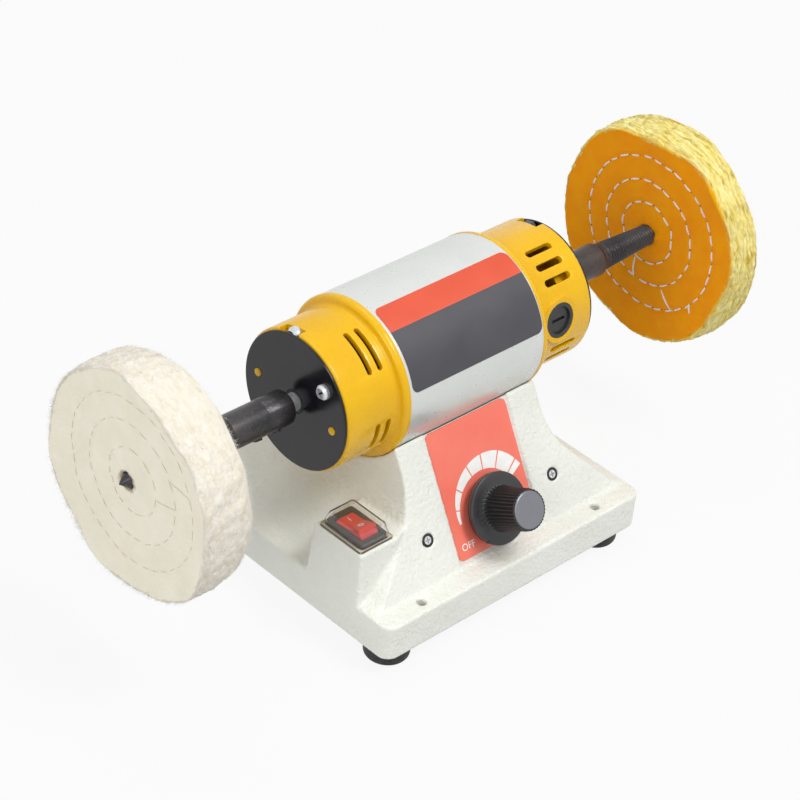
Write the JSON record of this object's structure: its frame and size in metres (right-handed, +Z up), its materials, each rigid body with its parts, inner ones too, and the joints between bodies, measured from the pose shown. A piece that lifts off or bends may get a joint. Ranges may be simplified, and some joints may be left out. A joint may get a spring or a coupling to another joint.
{
  "type": "bench buffer",
  "caption": "Bench buffer: motor in the cradle of a flared cast base, tapered threaded spindles with stitched cloth wheels, a speed knob and a covered rocker switch.",
  "frame": {"origin": "on the bench surface, under the middle of the base", "axes": "+X along the spindle axis towards the yellow wheel, -Y towards the control panel, +Z up"},
  "size_m": [0.317, 0.1506, 0.147],
  "materials": {
    "cast_enamel": "cream wrinkle enamel on cast iron",
    "panel_red": "printed satin panel",
    "label_grey": "printed satin foil",
    "housing_yellow": "glossy moulded plastic",
    "barrel_silver": "bright zinc plated tube",
    "plate_black": "satin black paint",
    "oxide_black": "black oxide, oiled",
    "zinc_steel": "zinc plated",
    "bright_steel": "ground steel",
    "core_steel": "stacked laminations",
    "copper": "enamelled copper wire and copper bars",
    "rubber_black": "matte rubber",
    "plastic_black": "satin black plastic",
    "plastic_grey": "dark grey phenolic",
    "cap_grey": "satin grey",
    "rocker_red": "glossy red",
    "cover_clear": "clear soft plastic",
    "gasket_brown": "translucent brown flange",
    "board_green": "solder resist",
    "film_yellow": "moulded capacitor case",
    "sink_aluminium": "mill finish",
    "carbon": "pressed carbon",
    "cotton_white": "unbleached stitched cotton",
    "cotton_yellow": "treated stitched cotton"
  },
  "bodies": {
    "frame": {"base_casting": "cast_enamel", "bottom_cover": "zinc_steel", "rubber_feet": "rubber_black", "foot_screws": "zinc_steel", "cord_gland": "plastic_black", "gland_nut": "plastic_black", "motor_mount_screws": "zinc_steel", "panel_plate": "panel_red", "board_screws": "oxide_black", "board_nuts": "zinc_steel", "control_board": "board_green", "board_capacitor": "film_yellow", "board_choke": "copper", "board_triac": "plastic_black", "heat_sink": "sink_aluminium", "terminal_block": "board_green", "potentiometer_body": "zinc_steel", "potentiometer_nut": "zinc_steel", "switch_housing": "plastic_black", "switch_terminals": "copper", "switch_gasket": "gasket_brown", "switch_cover": "cover_clear", "motor_barrel": "barrel_silver", "barrel_label": "label_grey", "left_end_housing": "housing_yellow", "right_end_housing": "housing_yellow", "left_end_plate": "plate_black", "right_end_plate": "plate_black", "end_plate_screws": "zinc_steel", "tie_bolts": "zinc_steel", "tie_bolt_nuts": "zinc_steel", "left_bearing": "bright_steel", "right_bearing": "bright_steel", "field_core": "core_steel", "field_windings": "copper", "brush_holders": "plastic_grey", "carbon_brushes": "carbon", "brush_springs": "bright_steel", "brush_caps": "plastic_grey"},
    "rotor": {"motor_shaft": "bright_steel", "armature_core": "core_steel", "armature_windings": "copper", "commutator": "copper", "cooling_fan": "plastic_black", "left_collar": "oxide_black", "right_collar": "oxide_black", "left_spindle": "oxide_black", "right_spindle": "oxide_black", "grub_screws": "oxide_black", "white_buffing_wheel": "cotton_white", "yellow_buffing_wheel": "cotton_yellow"},
    "knob": {"potentiometer_shaft": "bright_steel", "speed_knob": "plastic_black", "knob_cap": "cap_grey"},
    "rocker": {"switch_rocker": "rocker_red"}
  },
  "joints": [
    {"name": "spindle_spin", "type": "hinge", "parent": "frame", "child": "rotor", "pos_m": [0, 0, 0.097], "axis": [1, 0, 0], "continuous": true},
    {"name": "knob_turn", "type": "hinge", "parent": "frame", "child": "knob", "pos_m": [0, -0.05081, 0.04148], "axis": [0, 0.8695, -0.4939], "range_deg": [0, 280]},
    {"name": "switch_rock", "type": "hinge", "parent": "frame", "child": "rocker", "pos_m": [-0.0632, -0.035, 0.0492], "axis": [1, 0, 0], "range_deg": [0, 24]}
  ]
}
